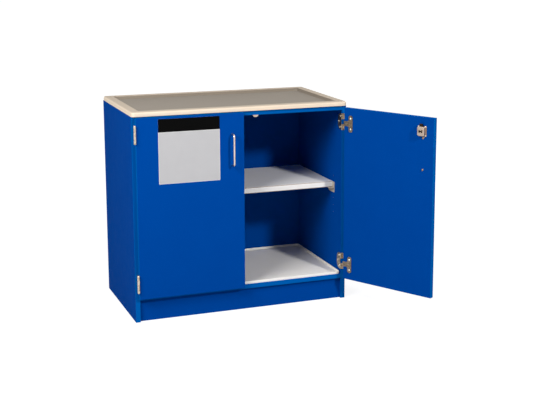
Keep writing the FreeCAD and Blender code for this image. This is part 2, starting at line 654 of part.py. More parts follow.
def side_leaf(name, level):
    """Leaf on the left side panel: a plate inside, two arms round the front edge, two knuckles."""
    body = new_body(name)
    inner = "(board + leaf_thick)"
    outer = "(door_side - edge_gap)"
    near = "(door_side - edge_gap - leaf_thick)"
    strip = new_sketch(body, name + "_strip", "XY")
    draw(strip, [("board", "side_leaf_depth"), (inner, "side_leaf_depth"), (inner, "-leaf_thick"),
                 (outer, "-leaf_thick"), (outer, AXIS_Y), (near, AXIS_Y), (near, "0"), ("board", "0")])
    pad(body, strip, "hinge_height", both_ways=True)
    soften(body, name + "_bends", "leaf_bend", [{"x": inner, "y": "-leaf_thick"}, {"x": near, "y": "0"}])
    soften(body, name + "_corners", "side_leaf_round",
           [{"y": "side_leaf_depth", "z": "%s hinge_height / 2" % sign} for sign in ("", "-")])
    knuckles = new_sketch(body, name + "_knuckles", "XY")
    circle(knuckles, AXIS_X, AXIS_Y, "barrel_radius")
    pad(body, knuckles, "hinge_height", both_ways=True)
    bore = new_sketch(body, name + "_bore", "XY")
    circle(bore, AXIS_X, AXIS_Y, "hinge_pin + pin_play")
    pocket(body, bore, "hinge_height + " + PAST, both_ways=True)
    notch = new_sketch(body, name + "_notch", "XZ", "leaf_relief")
    rectangle(notch, "%s - barrel_radius - %s" % (AXIS_X, PAST), "-" + NOTCH_HALF,
              "%s + %s" % (inner, PAST), NOTCH_HALF)
    pocket(body, notch, "leaf_relief - %s + barrel_radius + %s" % (AXIS_Y, PAST), backward=True)
    holes = new_sketch(body, name + "_holes", "YZ", inner)
    for back, up in SIDE_LEAF_HOLES:
        circle(holes, back, up, "screw_shank + screw_play")
    pocket(body, holes, "leaf_thick + " + PAST)
    return put(body, LEFT_X, z=level)


def door_leaf(name, level):
    """Leaf on the left door: a bar on its back, a neck round its edge, the middle knuckle."""
    body = new_body(name)
    edge = "(door_side - leaf_thick)"
    face = "(%s + leaf_thick)" % DOOR_BACK
    neck = new_sketch(body, name + "_neck", "XY")
    draw(neck, [(edge, AXIS_Y), ("door_side", AXIS_Y), ("door_side", DOOR_BACK), (BAR_MIDDLE, DOOR_BACK),
                (BAR_MIDDLE, face), (edge, face)])
    pad(body, neck, "knuckle", both_ways=True)
    soften(body, name + "_bend", "leaf_bend", [{"x": edge, "y": face}])
    bar = new_sketch(body, name + "_bar", "XZ", face)
    rectangle(bar, BAR_NEAR, "-hinge_height / 2", BAR_FAR, "hinge_height / 2", "leaf_bar_round")
    pad(body, bar, "leaf_thick")
    soften(body, name + "_roots", "leaf_neck_round",
           [{"x": BAR_NEAR, "z": "knuckle / 2"}, {"x": BAR_NEAR, "z": "-knuckle / 2"}])
    knuckle = new_sketch(body, name + "_knuckle", "XY")
    circle(knuckle, AXIS_X, AXIS_Y, "barrel_radius")
    pad(body, knuckle, "knuckle", both_ways=True)
    bore = new_sketch(body, name + "_bore", "XY")
    circle(bore, AXIS_X, AXIS_Y, "hinge_pin + pin_play")
    pocket(body, bore, "knuckle + " + PAST, both_ways=True)
    holes = new_sketch(body, name + "_holes", "XZ", face)
    for up in DOOR_LEAF_HOLES:
        circle(holes, BAR_MIDDLE, up, "screw_shank + screw_play")
    pocket(body, holes, "leaf_thick + " + PAST, backward=True)
    return put(body, LEFT_X, z=level)


def hinge_pin(name, level):
    """Pin of a left hinge, with a tapered cap on each end."""
    body = new_body(name)
    profile = new_sketch(body, name + "_profile", "XZ")
    end = "(hinge_height / 2)"
    top = "(hinge_height / 2 + tip_height)"
    draw(profile, [("0", "-" + top), ("tip_radius", "-" + top), ("barrel_radius", "-" + end),
                   ("hinge_pin", "-" + end), ("hinge_pin", end), ("barrel_radius", end),
                   ("tip_radius", top), ("0", top)])
    turned = body.newObject("PartDesign::Revolution", name + "_turned")
    turned.Profile = profile
    turned.ReferenceAxis = (profile, ["V_Axis"])
    turned.Angle = 360
    doc.recompute()
    return put(body, "%s + %s" % (LEFT_X, AXIS_X), AXIS_Y, level)


def pull():
    """Left door's pull: one round rod bent to a D."""
    body = new_body("left_pull")
    path = new_sketch(body, "pull_path", "YZ")
    half = "(pull_span / 2)"
    straight = "(pull_span / 2 - pull_bend)"
    turn = "(-pull_reach + pull_bend)"
    draw(path, [("0", "-" + half), (turn, "-" + half), ("-pull_reach", "-" + straight, turn, "-" + straight),
                ("-pull_reach", straight), (turn, half, turn, straight), ("0", half)], closed=False)
    ring = new_sketch(body, "pull_ring", "XZ")
    circle(ring, "0", "-" + half, "pull_rod")
    rod = body.newObject("PartDesign::AdditivePipe", "pull_bent_rod")
    rod.Profile = ring
    rod.Spine = path
    doc.recompute()
    return put(body, "-" + PULL_X, DOOR_FRONT, PULL_Z)


def lock_case():
    """Case of the rim lock: screwed plate, hollow box, slot for the bolt, window in its face."""
    body = new_body("lock_case_shell")
    plate = new_sketch(body, "case_plate_outline", "XZ", "case_plate_thick")
    half = "(case_plate / 2)"
    rectangle(plate, "-" + half, "-" + half, half, half, "case_round / 2")
    pad(body, plate, "case_plate_thick")
    box = new_sketch(body, "case_box", "XZ", "case_depth")
    rectangle(box, "-case_width / 2", "-case_length / 2", "case_width / 2", "case_length / 2", "case_round")
    pad(body, box, "case_depth")
    soften(body, "case_blends", "case_blend", [{"y": "case_depth"}])
    cavity = new_sketch(body, "case_cavity", "XZ")
    rectangle(cavity, "-case_width / 2 + case_wall", "-case_length / 2 + case_wall",
              "case_width / 2 - case_wall", "case_length / 2 - case_wall", "(case_round - case_wall)")
    pocket(body, cavity, "case_depth - case_wall")
    rim = new_sketch(body, "case_rim", "XZ", "case_depth + window_proud")
    slot(rim, "window_width / 2 + window_rim", "window_height / 2 + window_rim")
    pad(body, rim, "window_proud + case_wall / 2")
    window = new_sketch(body, "case_window", "XZ")
    tongue = "(window_tongue / 2)"
    tip = "(window_waist / 2)"
    wide = "(window_width / 2)"
    high = "(window_height / 2)"
    draw(window, [("-" + wide, "-" + high), ("-" + tongue, "-" + high), ("-" + tongue, "-" + tip),
                  (tongue, "-" + tip), (tongue, "-" + high), (wide, "-" + high), (wide, high), (tongue, high),
                  (tongue, tip), ("-" + tongue, tip), ("-" + tongue, high), ("-" + wide, high)])
    pocket(body, window, "case_depth + window_proud + " + PAST)
    gate = new_sketch(body, "case_gate", "XY", "case_length / 2 + " + PAST)
    rectangle(gate, "-bolt_width / 2 - bolt_play", "bolt_off - bolt_play",
              "bolt_width / 2 + bolt_play", "bolt_off + bolt_thick + bolt_play")
    pocket(body, gate, "case_wall + 2 * " + PAST)
    return put(body, LOCK_X, DOOR_BACK, LOCK_Z)


def slot(sketch, half_width, half_height):
    """Draw a slot with round ends about the sketch's origin."""
    end = "(%s - (%s))" % (half_width, half_height)
    high = "(%s)" % half_height
    wide = "(%s)" % half_width
    draw(sketch, [("-" + end, "-" + high, "-" + end, "0"), (end, "-" + high), (wide, "0", end, "0"),
                  (end, high, end, "0"), ("-" + end, high), ("-" + wide, "0", "-" + end, "0")])


def lock_bolt():
    """Bolt with a wide tail and a closed slot that the plug's pin drives."""
    body = new_body("closed_lock_bolt")
    back = "(bolt_off + bolt_thick)"
    low = "(%s - %s - slot_land)" % (DRIVE_REST, SLOT_HALF)
    shoulder = "(%s + %s + slot_land)" % (DRIVE_REST, SLOT_HALF)
    outline = new_sketch(body, "bolt_outline", "XZ", back)
    tail = "(bolt_tail / 2)"
    bar = "(bolt_width / 2)"
    draw(outline, [("-" + tail, low), (tail, low), (tail, shoulder), (bar, shoulder), (bar, "bolt_reach"),
                   ("-" + bar, "bolt_reach"), ("-" + bar, shoulder), ("-" + tail, shoulder)])
    pad(body, outline, "bolt_thick")
    soften(body, "bolt_tip", "bolt_round",
           [{"y": "bolt_off", "z": "bolt_reach"}, {"y": back, "z": "bolt_reach"}])
    opening = new_sketch(body, "bolt_slot", "XZ")
    rectangle(opening, "bolt_throw / 2 - %s" % SLOT_HALF, "%s - %s" % (DRIVE_REST, SLOT_HALF),
              "%s + %s" % (DRIVE_ARM, SLOT_HALF), "%s + %s" % (DRIVE_REST, SLOT_HALF))
    pocket(body, opening, "%s + %s" % (back, PAST))
    return put(body, LOCK_X, DOOR_BACK, LOCK_Z)


def lock_cylinder():
    """Cylinder that passes through the right door, with a ring on the front."""
    body = new_body("closed_lock_cylinder")
    profile = new_sketch(body, "cylinder_profile", "XY")
    front = "(-door_board - cylinder_proud)"
    bore = "(plug_radius + plug_play)"
    draw(profile, [(bore, front), ("cylinder_face - cylinder_bevel", front),
                   ("cylinder_face", front + " + cylinder_bevel"),
                   ("cylinder_face", "-door_board"), ("cylinder_radius", "-door_board"),
                   ("cylinder_radius", "plug_end"), (bore, "plug_end")])
    turned = body.newObject("PartDesign::Revolution", "cylinder_turned")
    turned.Profile = profile
    turned.ReferenceAxis = (profile, ["V_Axis"])
    turned.Angle = 360
    doc.recompute()
    return put(body, LOCK_X, DOOR_BACK, LOCK_Z)


def lock_plug():
    """Key plug with its cam disc and the pin that stands in the bolt's slot."""
    body = new_body("closed_lock_plug")
    profile = new_sketch(body, "plug_profile", "XY")
    front = "(-door_board - cylinder_proud - cam_gap)"
    draw(profile, [("0", front), ("plug_radius", front), ("plug_radius", CAM_FRONT), (CAM_RADIUS, CAM_FRONT),
                   (CAM_RADIUS, CAM_BACK), ("0", CAM_BACK)])
    turned = body.newObject("PartDesign::Revolution", "plug_turned")
    turned.Profile = profile
    turned.ReferenceAxis = (profile, ["V_Axis"])
    turned.Angle = 360
    doc.recompute()
    pin_end = "(bolt_off + bolt_thick - bolt_play / 2)"
    pin = new_sketch(body, "plug_pin", "XZ", pin_end)
    circle(pin, "bolt_throw / 2", DRIVE_REST, "drive_pin")
    pad(body, pin, "%s - %s + cam_thick / 2" % (pin_end, CAM_BACK))
    keyway = new_sketch(body, "plug_keyway", "XZ", front)
    rectangle(keyway, "-keyway_width / 2", "-keyway_length / 2", "keyway_width / 2", "keyway_length / 2")
    pocket(body, keyway, "keyway_depth")
    return put(body, LOCK_X, DOOR_BACK, LOCK_Z)


def strike_plate():
    """Angle under the top panel's front edge: a tapered lip and a leg with the bolt's hole."""
    body = new_body("strike_angle")
    leg = new_sketch(body, "strike_leg", "XY", "-strike_thick")
    rectangle(leg, "-strike_width / 2", "0", "strike_width / 2", "strike_length", "strike_thick")
    pad(body, leg, "strike_thick")
    lip = new_sketch(body, "strike_lip", "XZ", "strike_thick")
    draw(lip, [("-strike_tip / 2", "-strike_drop"), ("strike_tip / 2", "-strike_drop"),
               ("strike_width / 2", "0"), ("-strike_width / 2", "0")])
    pad(body, lip, "strike_thick")
    hole = new_sketch(body, "strike_hole", "XY")
    near = "(bolt_off - door_gap - strike_play)"
    rectangle(hole, "-bolt_width / 2 - strike_play", near, "bolt_width / 2 + strike_play",
              "bolt_off - door_gap + bolt_thick + strike_play")
    pocket(body, hole, "strike_thick + " + PAST)
    return put(body, LOCK_X, z=TOP_UNDER)


def catch_case():
    """Case of the magnetic catch, with an ear at each end."""
    body = new_body("catch_shell")
    ears = new_sketch(body, "catch_ears", "XY", "-catch_foot")
    back = "(catch_setback + catch_depth)"
    rectangle(ears, "-catch_length / 2", "catch_setback", "catch_length / 2", back, "catch_round")
    pad(body, ears, "catch_foot")
    block = new_sketch(body, "catch_block", "XY", "-catch_height")
    half = "(magnet_length / 2 + catch_cheek)"
    rectangle(block, "-" + half, "catch_setback", half, back, "catch_round")
    pad(body, block, "catch_height")
    mouth = new_sketch(body, "catch_mouth", "XZ")
    rectangle(mouth, "-magnet_length / 2 - catch_air", "-catch_middle - magnet_height / 2 - catch_air",
              "magnet_length / 2 + catch_air", "-catch_middle + magnet_height / 2 + catch_air")
    pocket(body, mouth, back + " - catch_cheek")
    return put(body, "-" + LOCK_X, z=TOP_UNDER)


def catch_magnet():
    """Two steel poles with the magnet between them."""
    body = new_body("catch_magnet")
    front = "(catch_plate_thick + catch_air - door_gap)"
    back = "(catch_setback + catch_depth - catch_cheek)"
    face = new_sketch(body, "magnet_face", "XZ", back)
    rectangle(face, "-magnet_length / 2", "-catch_middle - magnet_height / 2",
              "magnet_length / 2", "-catch_middle + magnet_height / 2")
    pad(body, face, "%s - %s" % (back, front))
    groove = new_sketch(body, "magnet_groove", "XZ", front)
    pole = "(magnet_height / 4)"
    rectangle(groove, "-magnet_length / 2 - " + PAST, "-catch_middle - %s" % pole,
              "magnet_length / 2 + " + PAST, "-catch_middle + %s" % pole)
    pocket(body, groove, "catch_setback / 2")
    return put(body, "-" + LOCK_X, z=TOP_UNDER)


def catch_plate():
    """Steel plate on the left door's back that the magnet holds."""
    body = new_body("catch_steel")
    face = new_sketch(body, "catch_plate_face", "XZ", "catch_plate_thick")
    rectangle(face, "-catch_plate_length / 2", "-catch_plate_height / 2",
              "catch_plate_length / 2", "catch_plate_height / 2", "catch_round")
    pad(body, face, "catch_plate_thick")
    return put(body, "-" + LOCK_X, DOOR_BACK, CATCH_Z)


def door_board():
    """Left door: a laminate board banded all round."""
    body = new_body("left_door_board")
    face = new_sketch(body, "door_face", "XZ", DOOR_BACK)
    rectangle(face, "door_side", "door_bottom", "door_side + %s" % DOOR_WIDTH, DOOR_TOP)
    pad(body, face, "door_board")
    soften(body, "door_edges", "board_round", [{"y": DOOR_FRONT}, {"y": DOOR_BACK}])
    return put(body, LEFT_X)


def lock_hole():
    """The hole in the right door that takes the lock cylinder."""
    tool = doc.addObject("Part::Cylinder", "lock_hole")
    bind(tool, "Radius", "cylinder_radius + cylinder_play")
    bind(tool, "Height", "door_board + 2 * " + PAST)
    tool.Placement = facing("front")
    return put(tool, LOCK_X, "%s + %s" % (DOOR_BACK, PAST), LOCK_Z)


nodes = []


def keep(item):
    """Add a finished piece to the ones that are written out."""
    nodes.append(item)
    return item


# Carcass: two sides, top and floor between them, a back board, a toe board and a rail behind it.
back_drill = spread(wood_drill, "back_drill", back_places)
side_drill = gather([spread(wood_drill, "side_leaf_drill", side_leaf_places), back_drill], "side_drill")
left_side = keep(cut(side_panel(), side_drill, "left_side_panel"))
keep(mirror(left_side, "right_side_panel"))
front_edges = [{"y": "0", "z": edge} for edge in (TOP_UNDER, "side_height")]
top_board = panel("top_board", "-" + INNER_HALF, INNER_HALF, "0", INNER_DEPTH, TOP_UNDER, "side_height",
                  front_edges)
strike_drill = spread(fine_drill, "strike_drill", strike_places)
catch_drill = spread(fine_drill, "catch_drill", catch_places)
top_drill = gather([strike_drill, catch_drill, back_drill], "top_drill")
keep(cut(put(top_board), top_drill, "top_panel"))
front_edges = [{"y": "0", "z": edge} for edge in ("toe_height", FLOOR_TOP)]
floor_board = panel("floor_board", "-" + INNER_HALF, INNER_HALF, "0", INNER_DEPTH, "toe_height", FLOOR_TOP,
                    front_edges)
keep(cut(put(floor_board), back_drill, "floor_panel"))
back_half = "(%s + back_rebate - board_fit)" % INNER_HALF
back_sheet = panel("back_sheet", "-" + back_half, back_half, INNER_DEPTH, BACK_FACE,
                   "toe_height", "side_height")
keep(cut(put(back_sheet), back_drill, "back_panel"))
keep(put(panel("toe_kick", "-" + INNER_HALF, INNER_HALF, "toe_setback", "toe_setback + board",
               "0", "toe_height")))
keep(put(panel("rear_base_rail", "-" + INNER_HALF, INNER_HALF, INNER_DEPTH + " - board", INNER_DEPTH,
               "0", "toe_height")))
keep(spread(wood_screw, "back_panel_screws", back_places))

# Moulded tray and liner, and the shelf on its four clips.
keep(top_tray())
keep(floor_liner())
shelf_top = "(%s + shelf_thick)" % SHELF_UNDER
shelf = panel("shelf", "-" + SHELF_HALF, SHELF_HALF, "shelf_front", SHELF_BACK, SHELF_UNDER, shelf_top)
soften(shelf, "shelf_nose", "shelf_round",
       [{"y": "shelf_front", "z": edge} for edge in (SHELF_UNDER, shelf_top)])
keep(put(shelf))
for place, end in (("front", 1), ("back", -1)):
    left_clip = keep(clip("left_%s_shelf_clip" % place, end))
    keep(mirror(left_clip, "right_%s_shelf_clip" % place))

# Doors: one board drilled for its hinges and pull, a plain one on the left,
# and its twin on the right with the lock's holes.
leaf_drill = spread(wood_drill, "door_leaf_drill", door_leaf_places)
grip_drill = spread(pull_drill, "pull_drill_places", pull_places)
case_drill = spread(fine_drill, "case_drill", case_places)
plate_drill = spread(fine_drill, "catch_plate_drill", catch_plate_places)
plain_door = cut(door_board(), gather([leaf_drill, grip_drill], "door_drill"), "drilled_door")
keep(cut(plain_door, plate_drill, "left_door_panel"))
lock_drill = gather([case_drill, lock_hole()], "lock_drill")
keep(swing(cut(mirror(plain_door, "right_door_blank"), lock_drill, "closed_right_door"), "right_door_panel"))

# Hinges: two on each side, each a leaf on the carcass, a leaf on the door and a pin.
for place, level in HINGE_LEVELS.items():
    fixed = keep(side_leaf("left_%s_hinge_side_leaf" % place, level))
    keep(mirror(fixed, "right_%s_hinge_side_leaf" % place))
    pin = keep(hinge_pin("left_%s_hinge_pin" % place, level))
    keep(mirror(pin, "right_%s_hinge_pin" % place))
    moving = keep(door_leaf("left_%s_hinge_door_leaf" % place, level))
    keep(swing(mirror(moving, "closed_%s_leaf" % place), "right_%s_hinge_door_leaf" % place))
side_screws = spread(wood_screw, "left_side_leaf_screws", side_leaf_places)
keep(gather([side_screws, mirror(side_screws, "right_side_leaf_screws")], "hinge_side_screws"))
door_screws = keep(spread(wood_screw, "left_door_hinge_screws", door_leaf_places))
keep(swing(mirror(door_screws, "closed_hinge_screws"), "right_door_hinge_screws"))

# Pulls, each on two screws from inside the door.
left_pull = keep(cut(pull(), grip_drill, "left_door_pull"))
keep(swing(mirror(left_pull, "closed_right_pull"), "right_door_pull"))
left_pull_screws = keep(spread(pull_screw, "left_pull_screws", pull_places))
keep(swing(mirror(left_pull_screws, "closed_pull_screws"), "right_pull_screws"))

# Lock on the right door, and what its bolt goes up behind.
keep(swing(cut(lock_case(), case_drill, "closed_lock_case"), "lock_case"))
keep(swing(spread(fine_screw, "closed_case_screws", case_places), "lock_case_screws"))
keep(swing(lock_cylinder(), "lock_cylinder"))
keep(swing(lock_plug(), "lock_plug"))
keep(swing(lock_bolt(), "lock_bolt"))
keep(cut(strike_plate(), strike_drill, "strike_plate"))
keep(spread(fine_screw, "strike_screws", strike_places))

# Magnetic catch of the left door.
keep(cut(catch_case(), catch_drill, "catch_case"))
keep(catch_magnet())
keep(spread(fine_screw, "catch_screws", catch_places))
keep(cut(catch_plate(), plate_drill, "catch_plate"))
keep(spread(fine_screw, "catch_plate_screws", catch_plate_places))

doc.recompute()
for item in doc.Objects:
    if "Invalid" in item.State or "Error" in item.State:
        raise ValueError("%s could not be built" % item.Name)
for item in nodes:
    item.Label = item.Name
    if item.Shape.isNull() or not item.Shape.isValid() or not item.Shape.Solids:
        raise ValueError("%s has no sound solid" % item.Label)
os.makedirs("parts", exist_ok=True)
for item in nodes:
    item.Shape.exportStep("parts/%s.step" % item.Label)
    print("%-32s %d solid(s), %.1f cm3" % (item.Label, len(item.Shape.Solids), item.Shape.Volume / 1000))
print("%d sub-parts" % len(nodes))
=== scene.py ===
import json
import math
import bpy
from mathutils import Matrix, Vector

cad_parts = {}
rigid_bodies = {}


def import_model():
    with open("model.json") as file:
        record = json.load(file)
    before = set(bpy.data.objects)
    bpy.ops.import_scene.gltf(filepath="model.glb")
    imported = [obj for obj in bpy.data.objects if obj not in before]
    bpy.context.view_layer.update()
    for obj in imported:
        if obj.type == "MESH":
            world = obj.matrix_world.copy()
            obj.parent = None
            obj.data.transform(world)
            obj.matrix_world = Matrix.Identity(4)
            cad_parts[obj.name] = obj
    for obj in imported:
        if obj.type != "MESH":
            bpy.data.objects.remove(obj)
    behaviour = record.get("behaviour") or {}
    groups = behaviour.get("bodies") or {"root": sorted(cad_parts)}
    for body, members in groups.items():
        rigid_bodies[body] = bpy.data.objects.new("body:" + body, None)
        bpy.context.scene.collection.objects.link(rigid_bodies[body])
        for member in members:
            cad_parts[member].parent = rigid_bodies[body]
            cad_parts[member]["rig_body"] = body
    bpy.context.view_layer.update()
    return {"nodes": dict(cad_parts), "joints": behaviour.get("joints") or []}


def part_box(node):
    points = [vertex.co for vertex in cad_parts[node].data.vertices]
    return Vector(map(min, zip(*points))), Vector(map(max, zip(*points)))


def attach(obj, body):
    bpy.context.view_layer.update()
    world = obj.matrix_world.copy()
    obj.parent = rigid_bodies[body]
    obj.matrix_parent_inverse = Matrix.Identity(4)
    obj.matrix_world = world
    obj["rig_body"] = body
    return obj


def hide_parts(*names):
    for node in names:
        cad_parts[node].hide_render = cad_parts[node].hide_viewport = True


# Undercounter acid cabinet: blue laminate carcass and doors, cream spill tray on top,
# white liner and shelf inside, nickel hinges, pulls and lock.

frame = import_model()
nodes = frame["nodes"]
print("frame loaded,", len(nodes), "nodes")

# the right door stands open, so its patterns are turned back to where it would be shut
rightHinge = next(j for j in frame["joints"] if j["name"] == "right_door_hinge")
doorTurn = math.radians(-rightHinge["range_deg"][0])
doorAxis = Vector(rightHinge["pos_m"])
backTurn = Matrix.Rotation(-doorTurn, 3, "Z")
backShift = doorAxis - backTurn @ doorAxis

noiseSpan = (0.3, 0.7)      # where most of a noise pattern's values lie
facing = 0.9                # a face looks along an axis when its normal has more than this share of it


# small helpers for the shader trees

def freshMaterial(name):
    material = bpy.data.materials.new(name)
    material.use_nodes = True
    tree = material.node_tree
    tree.nodes.clear()
    output = tree.nodes.new("ShaderNodeOutputMaterial")
    shader = tree.nodes.new("ShaderNodeBsdfPrincipled")
    tree.links.new(shader.outputs["BSDF"], output.inputs["Surface"])
    return material, tree, shader


def addNode(tree, kind, links=None, **settings):
    # settings are sockets by name, or properties of the node itself
    node = tree.nodes.new("ShaderNode" + kind)
    for key, value in settings.items():
        if key in node.inputs:
            node.inputs[key].default_value = value
        else:
            setattr(node, key, value)
    for socket, source in (links or {}).items():
        tree.links.new(source, node.inputs[socket])
    return node


def mathNode(tree, operation, first, second=None):
    node = addNode(tree, "Math", operation=operation)
    for socket, value in zip(node.inputs, (first, second)):
        if value is None:
            continue
        if isinstance(value, (int, float)):
            socket.default_value = value
        else:
            tree.links.new(value, socket)
    return node.outputs[0]


def vectorNode(tree, operation, first, second=None):
    node = addNode(tree, "VectorMath", operation=operation)
    for socket, value in zip(node.inputs, (first, second)):
        if value is None:
            continue
        if isinstance(value, (tuple, Vector)):
            socket.default_value = value
        else:
            tree.links.new(value, socket)
    return node.outputs[0]


def blendNode(tree, share, first, second):
    # colours or colour outputs, mixed by a share; sockets 6 and 7 are the ones for colours
    node = addNode(tree, "Mix", data_type="RGBA")
    for socket, value in ((node.inputs[0], share), (node.inputs[6], first), (node.inputs[7], second)):
        if isinstance(value, (tuple, int, float)):
            socket.default_value = value if isinstance(value, (int, float)) else tuple(value) + (1,)
        else:
            tree.links.new(value, socket)
    return node.outputs[2]


def placeNode(tree, turned=False):
    # where a point lies in the cabinet, with the right door's pieces turned back
    spot = addNode(tree, "TexCoord").outputs["Object"]
    if not turned:
        return spot
    shift = addNode(tree, "Mapping", {"Vector": spot})
    shift.inputs["Rotation"].default_value = (0, 0, -doorTurn)
    shift.inputs["Location"].default_value = backShift
    return shift.outputs["Vector"]


def shutBox(node):
    # lowest and highest corners of a right door piece as it lies with the door shut
    spots = [backTurn @ vertex.co + backShift for vertex in nodes[node].data.vertices]
    low, high = (Vector([pick(spot[axis] for spot in spots) for axis in range(3)]) for pick in (min, max))
    return low, high


def inwardNode(tree, spot, low, high):
    # how far a point lies inside a box, along each axis
    offset = vectorNode(tree, "ABSOLUTE", vectorNode(tree, "SUBTRACT", spot, (low + high) / 2))
    inward = vectorNode(tree, "SUBTRACT", (high - low) / 2, offset)
    return addNode(tree, "SeparateXYZ", {"Vector": inward}).outputs


def noiseNode(tree, spot, size, detail=3.0, stretch=None):
    # size is how wide one patch is, in metres
    if stretch:
        spot = vectorNode(tree, "MULTIPLY", spot, Vector(stretch))
    return addNode(tree, "TexNoise", {"Vector": spot}, Scale=1 / size, Detail=detail).outputs["Fac"]


def rangeNode(tree, value, low, high, first, last):
    node = addNode(tree, "MapRange", {"Value": value})
    for name, number in (("From Min", low), ("From Max", high), ("To Min", first), ("To Max", last)):
        node.inputs[name].default_value = number
    return node.outputs["Result"]


def grain(tree, shader, height, depth):
    bump = addNode(tree, "Bump", {"Height": height}, Distance=depth, Strength=1.0)
    tree.links.new(bump.outputs["Normal"], shader.inputs["Normal"])


def selectFaces(piece, wanted):
    # leaves the piece in edit mode with the wanted faces selected
    bpy.context.view_layer.objects.active = piece
    bpy.ops.object.mode_set(mode="EDIT")
    bpy.ops.mesh.select_mode(type="FACE")
    bpy.ops.mesh.select_all(action="DESELECT")
    bpy.ops.object.mode_set(mode="OBJECT")
    for face in piece.data.polygons:
        face.select = wanted(face)
    bpy.ops.object.mode_set(mode="EDIT")


def selectEdges(piece, wanted):
    # the same for edges, told by their two ends
    bpy.context.view_layer.objects.active = piece
    bpy.ops.object.mode_set(mode="EDIT")
    bpy.ops.mesh.select_mode(type="EDGE")
    bpy.ops.mesh.select_all(action="DESELECT")
    bpy.ops.object.mode_set(mode="OBJECT")
    for edge in piece.data.edges:
        first, second = (piece.data.vertices[v].co for v in edge.vertices)
        edge.select = wanted(first, second)
    bpy.ops.object.mode_set(mode="EDIT")


def dress(node, material):
    target = nodes[node] if isinstance(node, str) else node
    target.data.materials.clear()
    target.data.materials.append(material)


# camera at the photograph's place, to the left of the cabinet and looking a little down on it;
# turns are in degrees, and the lens and the picture's centre in pixels of the frame

cameraView = {
    "spot": (-1.4848, -4.4537, 1.5396),
    "yaw": 22.478,
    "pitch": -10.945,
    "roll": 0.285,
    "lensPixels": 1166.6,
    "centreX": 322.0,
    "centreY": 160.0,
    "frameWidth": 540,
    "frameHeight": 410,
    "sensor": 36,
    "farthest": 50,
}


def makeCamera():
    view = cameraView
    data = bpy.data.cameras.new("camera")
    camera = bpy.data.objects.new("camera", data)
    bpy.context.scene.collection.objects.link(camera)
    data.sensor_width = view["sensor"]
    data.lens = view["lensPixels"] / view["frameWidth"] * data.sensor_width
    data.shift_x = (view["frameWidth"] / 2 - view["centreX"]) / view["frameWidth"]
    data.shift_y = (view["centreY"] - view["frameHeight"] / 2) / view["frameWidth"]
    data.clip_end = view["farthest"]
    aim = Matrix.Rotation(math.radians(-view["yaw"]), 4, "Z")
    tilt = Matrix.Rotation(math.radians(90 + view["pitch"]), 4, "X")
    roll = Matrix.Rotation(math.radians(view["roll"]), 4, "Z")
    camera.matrix_world = Matrix.Translation(view["spot"]) @ aim @ tilt @ roll
    bpy.context.scene.camera = camera


makeCamera()
print("camera set")


# floor, backdrop and light

studio = {
    "floorSize": 60,
    "floorColour": (0.56, 0.56, 0.56),
    "floorGlow": (0.87, 1.0),       # beside the cabinet, and away from it
    "glowReach": (0.9, 2.6),
    "floorShade": 0.24,             # how much light the floor shows, and so how deep a shadow on it is
    "skyLevel": 0.13,
    # each lamp's azimuth from the front (left is minus) and height in degrees, distance and size
    # in metres, and level
    "lamps": {
        "softLeft": (-58, 36, 3.6, 1.6, 0.84),
        "hardRight": (21, 30, 4.2, 0.34, 0.515),
        "backFill": (118, 24, 4.0, 2.0, 0.32),
    },
    "lampTarget": (0.0, 0.0, 0.45),
}


def whiteForCamera(tree):
    # 1 for rays from the camera, in mirrors and through glass
    path = addNode(tree, "LightPath")
    seen = mathNode(tree, "MAXIMUM", path.outputs["Is Camera Ray"], path.outputs["Is Glossy Ray"])
    return mathNode(tree, "MAXIMUM", seen, path.outputs["Is Transmission Ray"])


def makeStudio():
    bpy.ops.object.select_all(action="DESELECT")
    bpy.ops.mesh.primitive_plane_add(size=studio["floorSize"], location=(0, 0, 0))
    floor = bpy.context.object
    floor.name = "floor"
    material = bpy.data.materials.new("floorWhite")
    material.use_nodes = True
    tree = material.node_tree
    tree.nodes.clear()
    output = tree.nodes.new("ShaderNodeOutputMaterial")
    plain = addNode(tree, "BsdfDiffuse", Color=studio["floorColour"] + (1,))
    shade = addNode(tree, "BsdfDiffuse", Color=(studio["floorShade"],) * 3 + (1,))
    spot = addNode(tree, "TexCoord").outputs["Object"]
    away = addNode(tree, "VectorMath", {0: spot}, operation="LENGTH").outputs["Value"]
    strength = rangeNode(tree, away, *studio["glowReach"], *studio["floorGlow"])
    glow = addNode(tree, "Emission", {"Strength": strength})
    seen = addNode(tree, "AddShader")
    tree.links.new(shade.outputs[0], seen.inputs[0])
    tree.links.new(glow.outputs[0], seen.inputs[1])
    choose = addNode(tree, "MixShader", {0: whiteForCamera(tree), 1: plain.outputs[0], 2: seen.outputs[0]})
    tree.links.new(choose.outputs[0], output.inputs["Surface"])
    floor.data.materials.append(material)

    world = bpy.data.worlds.new("studioWorld")
    bpy.context.scene.world = world
    world.use_nodes = True
    tree = world.node_tree
    tree.nodes.clear()
    output = tree.nodes.new("ShaderNodeOutputWorld")
    sky, white = (addNode(tree, "Background", Color=(1, 1, 1, 1), Strength=level)
                  for level in (studio["skyLevel"], 1.0))
    choose = addNode(tree, "MixShader", {0: whiteForCamera(tree), 1: sky.outputs[0], 2: white.outputs[0]})
    tree.links.new(choose.outputs[0], output.inputs["Surface"])

    target = Vector(studio["lampTarget"])
    for name, (azimuth, height, distance, size, level) in studio["lamps"].items():
        data = bpy.data.lights.new(name, "AREA")
        data.size = size
        data.energy = level * math.pi ** 2 * distance ** 2     # level 1 shows a facing colour as written
        lamp = bpy.data.objects.new(name, data)
        bpy.context.scene.collection.objects.link(lamp)
        turn, rise = math.radians(azimuth), math.radians(height)
        away = Vector((math.sin(turn) * math.cos(rise), -math.cos(turn) * math.cos(rise), math.sin(rise)))
        lamp.location = target + away * distance
        lamp.rotation_mode = "QUATERNION"
        lamp.rotation_quaternion = (-away).to_track_quat("-Z", "Y")
    bpy.context.scene.view_settings.view_transform = "Standard"


